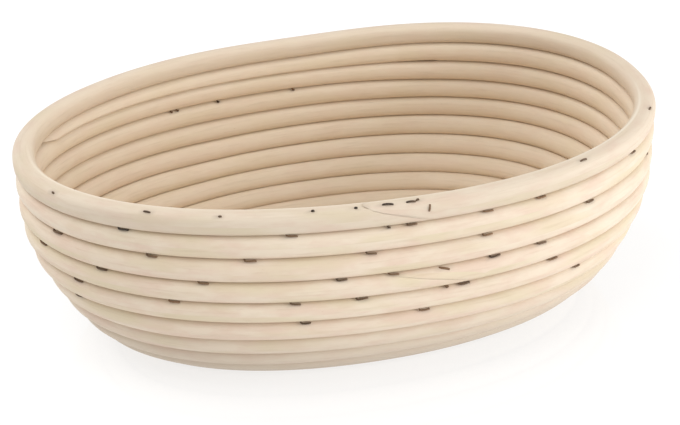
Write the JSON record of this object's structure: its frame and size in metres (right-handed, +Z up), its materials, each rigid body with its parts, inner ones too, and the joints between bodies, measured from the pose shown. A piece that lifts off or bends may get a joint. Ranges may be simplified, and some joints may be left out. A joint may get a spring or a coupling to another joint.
{
  "type": "proofing basket",
  "caption": "Oval bread proofing basket wound from round cane: flat coiled base, rounded ribbed wall and open top, with tapered splices and wire staples in the grooves.",
  "frame": {"origin": "middle of the oval, on the plane that the basket stands on", "axes": "+X along the long axis of the oval, +Z up out of the open top; the rim's splice faces -Y"},
  "size_m": [0.248, 0.1646, 0.0794],
  "materials": {
    "cane": "peeled rattan, matt",
    "staple_wire": "darkened wire"
  },
  "bodies": {
    "root": {"base_cane": "cane", "base_splice_staple_over": "staple_wire", "base_splice_staple_under": "staple_wire", "centre_cane_back": "cane", "centre_cane_front": "cane", "groove_1_staple_1": "staple_wire", "groove_1_staple_2": "staple_wire", "groove_1_staple_3": "staple_wire", "groove_1_staple_4": "staple_wire", "groove_1_staple_5": "staple_wire", "groove_1_staple_6": "staple_wire", "groove_1_staple_7": "staple_wire", "groove_1_staple_8": "staple_wire", "groove_2_staple_1": "staple_wire", "groove_2_staple_2": "staple_wire", "groove_2_staple_3": "staple_wire", "groove_2_staple_4": "staple_wire", "groove_2_staple_5": "staple_wire", "groove_2_staple_6": "staple_wire", "groove_2_staple_7": "staple_wire", "groove_2_staple_8": "staple_wire", "groove_3_staple_1": "staple_wire", "groove_3_staple_2": "staple_wire", "groove_3_staple_3": "staple_wire", "groove_3_staple_4": "staple_wire", "groove_3_staple_5": "staple_wire", "groove_3_staple_6": "staple_wire", "groove_3_staple_7": "staple_wire", "groove_3_staple_8": "staple_wire", "groove_4_staple_1": "staple_wire", "groove_4_staple_2": "staple_wire", "groove_4_staple_3": "staple_wire", "groove_4_staple_4": "staple_wire", "groove_4_staple_5": "staple_wire", "groove_4_staple_6": "staple_wire", "groove_4_staple_7": "staple_wire", "groove_4_staple_8": "staple_wire", "groove_5_staple_1": "staple_wire", "groove_5_staple_2": "staple_wire", "groove_5_staple_3": "staple_wire", "groove_5_staple_4": "staple_wire", "groove_5_staple_5": "staple_wire", "groove_5_staple_6": "staple_wire", "groove_5_staple_7": "staple_wire", "groove_5_staple_8": "staple_wire", "lower_splice_staple_over": "staple_wire", "lower_splice_staple_under": "staple_wire", "lower_wall_cane": "cane", "middle_wall_cane": "cane", "rim_cane": "cane", "rim_splice_staple_left": "staple_wire", "rim_splice_staple_right": "staple_wire", "rim_splice_staple_under": "staple_wire", "upper_splice_staple_over": "staple_wire", "upper_splice_staple_under": "staple_wire", "upper_wall_cane": "cane"}
  },
  "joints": []
}
